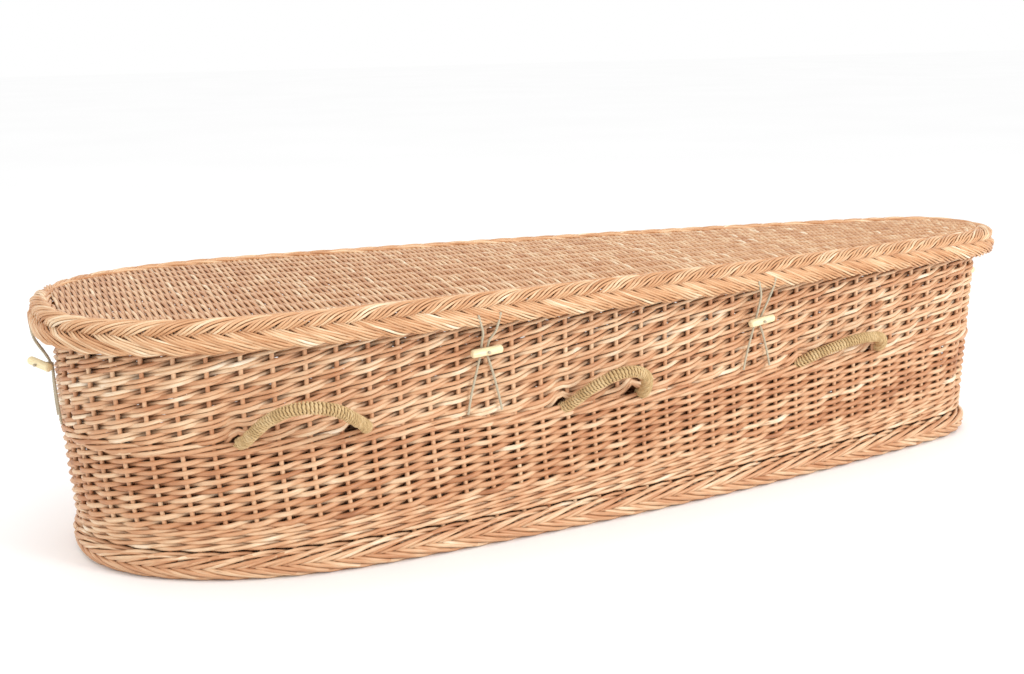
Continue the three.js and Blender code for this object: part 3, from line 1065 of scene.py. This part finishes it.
class CasketLidSettings(bpy.types.PropertyGroup):
    weaver_pitch: distance("Weaver pitch", "Distance between the lid's weavers", 0.0051)
    weaver_radius: distance("Weaver radius", "Radius of a weaver of the lid", 0.0030)
    plait_radius: distance("Plait rod radius", "Radius of a rod of the plaited border", 0.0024)
    sticks: bpy.props.IntProperty(
        name="Sticks", description="Sticks that run the length of the lid", default=10, min=4)


class CasketRopeSettings(bpy.types.PropertyGroup):
    cord_radius: distance("Cord radius", "Radius of one strand of the cord on the handles", 0.0016)
    wraps: bpy.props.FloatProperty(
        name="Wraps", description="Turns of cord on each metre of handle", default=172.0, min=20.0)
    twine_radius: distance("Twine strand radius", "Radius of one strand of the twine", 0.0013)
    toggle_length: distance("Toggle length", "Length of a toggle", 0.058)


class CasketStageSettings(bpy.types.PropertyGroup):
    key: bpy.props.FloatProperty(
        name="Key light", description="Power of the main light", default=80.0, min=0.0, unit="POWER")
    fill: bpy.props.FloatProperty(
        name="Fill light", description="Power of the light from the head end and of the one above",
        default=16.0, min=0.0, unit="POWER")
    sky: bpy.props.FloatProperty(
        name="Room light", description="Strength of the white room", default=1.0, min=0.0)


# Operators

CAMERA_LENS = 47.99
CAMERA_PLACE = (-1.1186, -2.3989, 0.8869)
CAMERA_TURNS = (0.397, -0.2229, -0.0162)
FLOOR_SIZE = 30.0


class CASKET_OT_set_stage(bpy.types.Operator):
    """White floor, soft lights and the camera"""

    bl_idname = "casket.set_stage"
    bl_label = "Set the stage"

    def execute(self, context):
        scene = context.scene
        settings = scene.casket_stage
        data = bpy.data.cameras.new("camera")
        data.lens = CAMERA_LENS
        data.sensor_width = 36.0
        data.clip_end = 50.0
        camera = placed("camera", data)
        yaw, pitch, roll = CAMERA_TURNS
        forward = Vector((math.sin(yaw) * math.cos(pitch), math.cos(yaw) * math.cos(pitch), math.sin(pitch)))
        right = Vector((math.cos(yaw), -math.sin(yaw), 0.0))
        up = right.cross(forward)
        turned_right = right * math.cos(roll) + up * math.sin(roll)
        turned_up = up * math.cos(roll) - right * math.sin(roll)
        look = Matrix((turned_right, turned_up, -forward)).transposed().to_4x4()
        look.translation = Vector(CAMERA_PLACE) + Vector((SHIFT, 0.0, 0.0))
        camera.matrix_world = look
        scene.camera = camera
        self.add_floor()
        self.add_light("key light", settings.key, 1.2, (1.9, -3.4, 2.0))
        self.add_light("fill light", settings.fill, 2.4, (-2.6, -2.4, 1.9))
        self.add_light("top light", settings.fill, 3.0, (-0.8, 0.4, 2.6))
        world = bpy.data.worlds.new("white room")
        scene.world = world
        world.use_nodes = True
        world.node_tree.nodes.clear()
        room = Graph(world.node_tree)
        glow = room.add("ShaderNodeBackground", {"Color": (1.0, 1.0, 1.0, 1.0), "Strength": settings.sky})
        end = world.node_tree.nodes.new("ShaderNodeOutputWorld")
        world.node_tree.links.new(glow.socket, end.inputs["Surface"])
        scene.view_settings.view_transform = "Standard"
        return {"FINISHED"}

    def add_floor(self):
        shape = bmesh.new()
        bmesh.ops.create_grid(shape, x_segments=1, y_segments=1, size=FLOOR_SIZE)
        mesh = mesh_of("floor", shape)
        mesh.materials.append(finish("floor"))
        floor = placed("floor", mesh)

    def add_light(self, name, power, size, place):
        data = bpy.data.lights.new(name, "AREA")
        data.energy = power
        data.size = size
        light = placed(name, data)
        light.location = place
        aim = Vector((0.0, 0.0, 0.2)) - Vector(place)
        light.rotation_euler = aim.to_track_quat("-Z", "Y").to_euler()


class CASKET_OT_tie_twine(bpy.types.Operator):
    """Loops of twine on the basket and the lid, one of each for every toggle"""

    bl_idname = "casket.tie_twine"
    bl_label = "Tie the twine"

    def execute(self, context):
        strand = context.scene.casket_rope.twine_radius
        sizes = {"Radius": strand, "Out": strand * 0.86}
        for label, fraction, toggle in toggles():
            centre, _, through, _ = toggle_frame(fraction, toggle)
            line = basket_loop(fraction, toggle)
            loop = make_strands("basket_loop_" + label, line, "twine", sizes, 2, TWINE_TWISTS)
            settle(loop, "twine", "basket_twine_" + label)
            apex = near_wall(fraction, 0.0, toggle["height"], APEX_OUT)
            behind = centre - through * (TOGGLE_RADIUS + TWINE_RADIUS)
            front = centre + through * (TOGGLE_RADIUS + KNOT_RADIUS)
            neck = make_strands("neck", [apex, behind, front], "twine", sizes, 2, TWINE_TWISTS)
            knot = blob("knot", front, KNOT_RADIUS, "twine")
            tie = joined("tie_" + label, [neck, knot])
            settle(tie, "twine", "basket_twine_" + label)
            length_of(line)
            line = lid_loop(fraction, toggle)
            loop = make_strands("lid_loop_" + label, line, "twine", sizes, 2, TWINE_TWISTS)
            settle(loop, "twine", "lid_twine_" + label)
            length_of(line)
        return {"FINISHED"}


class CASKET_OT_carve_toggles(bpy.types.Operator):
    """The six peeled pegs"""

    bl_idname = "casket.carve_toggles"
    bl_label = "Carve the toggles"

    def execute(self, context):
        length = context.scene.casket_rope.toggle_length
        for label, fraction, toggle in toggles():
            piece = peg("peg_" + label, *toggle_frame(fraction, toggle), length)
            settle(piece, "peeled_wood", "toggle_" + label)
        return {"FINISHED"}


class CASKET_OT_wind_handles(bpy.types.Operator):
    """Six rope handles, each wound with two-strand cord"""

    bl_idname = "casket.wind_handles"
    bl_label = "Wind the handles"

    def execute(self, context):
        settings = context.scene.casket_rope
        strand = settings.cord_radius
        for side in (1, -1):
            for handle in HANDLES:
                label = ("front_" if side > 0 else "back_") + handle["name"]
                line = handle_line(handle, side)
                ply = strand * 0.8
                sizes = {"Radius": strand, "Out": ROPE_RADIUS - strand - ply, "Ply": ply, "Twists": 3.37}
                cord = make_strands(
                    "cord", line, "seagrass", sizes, 2, settings.wraps, wound=True, per_turn=19)
                core = make_strands(
                    "core", line, "seagrass",
                    {"Sides": 12, "Radius": ROPE_RADIUS - 3.2 * strand, "Out": 0.0}, 1, 12)
                piece = joined("rope_" + label, [cord, core])
                settle(piece, "seagrass_rope", "handle_" + label)
        return {"FINISHED"}


class CASKET_OT_weave_wall(bpy.types.Operator):
    """Stakes, the two bands of slanting rods, the wale, the band between them and the rim"""

    bl_idname = "casket.weave_wall"
    bl_label = "Weave the wall"

    def execute(self, context):
        settings = context.scene.casket_wall
        with WallGuides() as guides:
            pieces = [
                make_stakes(guides, settings.stake_radius),
                make_randing("lower_weave", guides, "buff willow, lower wall", {
                    "Rows": settings.lower_rows, "Lowest": 0.0945, "Pitch": settings.lower_pitch,
                    "Radius": settings.lower_radius, "Swing": settings.swing,
                }),
                make_randing("upper_weave", guides, "buff willow, upper wall", {
                    "Rows": settings.upper_rows, "Lowest": 0.2455, "Pitch": settings.upper_pitch,
                    "Radius": settings.upper_radius, "Swing": settings.swing, "Seed": 4,
                }, pair_gap=2 * settings.upper_radius + 0.0002),
                make_wale("foot_wale", guides, "buff willow, wale", {
                    "Height": 0.0570, "Pitch": 0.0130, "Out": -0.0068, "Swing": 0.0056, "Climb": 0.0040,
                    "Radius": 0.0036,
                }, strands=3, repeats=81, rows=3),
                make_wale("middle_band", guides, "buff willow, wale", {
                    "Height": 0.2265, "Out": -0.0066, "Swing": 0.0052, "Climb": 0.0068,
                    "Radius": 0.0039, "Seed": 15,
                }, strands=4, repeats=80, rows=1),
                make_wale("top_round", guides, "buff willow, upper wall", {
                    "Height": 0.4015, "Pitch": 0.0118, "Out": -0.0095, "Swing": 0.0068, "Climb": 0.0028,
                    "Radius": 0.0029, "Seed": 17,
                }, strands=3, repeats=81, rows=2),
            ]
        for piece in pieces:
            settle(piece, "willow_basket", "basket")
        return {"FINISHED"}


class CASKET_OT_plait_foot(bpy.types.Operator):
    """The rolled border round the foot"""

    bl_idname = "casket.plait_foot"
    bl_label = "Plait the foot border"

    def execute(self, context):
        section = [Vector((o, 0.0, z)) for o, z in (
            (-0.0090, 0.0084), (0.0010, 0.0092), (0.0042, 0.0140), (0.0052, 0.0230), (0.0044, 0.0320),
            (0.0006, 0.0390), (-0.0080, 0.0430))]
        with WallGuides() as guides:
            piece = make_plait("foot_border", guides, "buff willow, wale", smooth_line(section), {
                "Swing": 0.0034, "Crown": 0.0014, "Packing": 0.9, "Radius": 0.0038, "Seed": 19,
            }, strands=7, repeats=80, per_strand=2, samples=5)
        settle(piece, "willow_basket", "basket")
        return {"FINISHED"}


class CASKET_OT_weave_base(bpy.types.Operator):
    """The woven base inside the foot border"""

    bl_idname = "casket.weave_base"
    bl_label = "Weave the base"

    def execute(self, context):
        weavers, pitch = 242, 0.0077
        weave = make_panel("base_weave", "buff willow, lower wall", GROUND_PLAN, {
            "Start": -0.926, "Inset": 0.008, "Height": 0.0210, "Crown": 0.0, "Swing": 0.0036,
            "Radius": 0.0043, "Sides": 4,
        }, weavers, pitch, 10, 3)
        sticks = make_sticks("base_sticks", "buff willow, stakes", GROUND_PLAN, {
            "Height": 0.0205, "Crown": 0.0, "Radius": 0.0040,
        }, 10)
        for piece in (weave, sticks):
            settle(piece, "willow_basket", "basket")
        return {"FINISHED"}


class CASKET_OT_weave_lid(bpy.types.Operator):
    """The lid's panel, its edging and its plaited border"""

    bl_idname = "casket.weave_lid"
    bl_label = "Weave the lid"

    def execute(self, context):
        settings = context.scene.casket_lid
        pitch = settings.weaver_pitch
        weavers = int(PANEL_LENGTH / pitch)
        count = settings.sticks
        weave = make_panel("lid_weave", "buff willow, lid", RIM_PLAN, {
            "Start": -0.952, "Inset": 0.0, "Height": PANEL_HEIGHT, "Crown": PANEL_CROWN, "Swing": 0.0023,
            "Radius": settings.weaver_radius,
        }, weavers, pitch, count, 4)
        sticks = make_sticks("lid_sticks", "buff willow, stakes", RIM_PLAN, {
            "Height": PANEL_HEIGHT, "Crown": PANEL_CROWN, "Radius": 0.0026,
        }, count)
        section = [Vector((o, 0.0, z)) for o, z in (
            (0.0180, 0.3985), (0.0232, 0.4010), (0.0266, 0.4070), (0.0272, 0.4170), (0.0264, 0.4280),
            (0.0235, 0.4355), (0.0170, 0.4396), (0.0080, 0.4406), (-0.0010, 0.4403))]
        with WallGuides() as guides:
            edging = make_wale("lid_edging", guides, "buff willow, plait", {
                "Height": 0.4432, "Out": 0.0015, "Swing": 0.0032, "Climb": 0.0036, "Radius": 0.0029,
                "Seed": 27,
            }, strands=3, repeats=90, rows=1, flat=True)
            plait = make_plait("lid_plait", guides, "buff willow, plait", smooth_line(section), {
                "Swing": 0.0030, "Crown": 0.0048, "Packing": 0.80, "Radius": settings.plait_radius,
                "Seed": 29,
            }, strands=5, repeats=90, per_strand=5, samples=6)
        for piece in (weave, sticks, edging, plait):
            settle(piece, "willow_lid", "lid")
        return {"FINISHED"}


class CASKET_PT_panel(bpy.types.Panel):
    bl_idname = "CASKET_PT_panel"
    bl_label = "Wicker casket"
    bl_space_type = "VIEW_3D"
    bl_region_type = "UI"
    bl_category = "Casket"

    def draw(self, context):
        for settings in (context.scene.casket_wall, context.scene.casket_lid, context.scene.casket_rope,
                         context.scene.casket_stage):
            box = self.layout.box()
            for name in settings.__annotations__:
                box.prop(settings, name)
        for operator in OPERATORS:
            self.layout.operator(operator.bl_idname)


SETTINGS = {
    "casket_wall": CasketWallSettings,
    "casket_lid": CasketLidSettings,
    "casket_rope": CasketRopeSettings,
    "casket_stage": CasketStageSettings,
}
OPERATORS = (
    CASKET_OT_set_stage,
    CASKET_OT_tie_twine,
    CASKET_OT_carve_toggles,
    CASKET_OT_wind_handles,
    CASKET_OT_weave_wall,
    CASKET_OT_plait_foot,
    CASKET_OT_weave_base,
    CASKET_OT_weave_lid,
)
CLASSES = (*SETTINGS.values(), *OPERATORS, CASKET_PT_panel)


def register():
    for cls in CLASSES:
        bpy.utils.register_class(cls)
    for name, cls in SETTINGS.items():
        setattr(bpy.types.Scene, name, bpy.props.PointerProperty(type=cls))


def unregister():
    for name in SETTINGS:
        delattr(bpy.types.Scene, name)
    for cls in reversed(CLASSES):
        bpy.utils.unregister_class(cls)


def main():
    register()
    for operator in OPERATORS:
        group, name = operator.bl_idname.split(".")
        getattr(getattr(bpy.ops, group), name)()


if __name__ == "__main__":
    main()
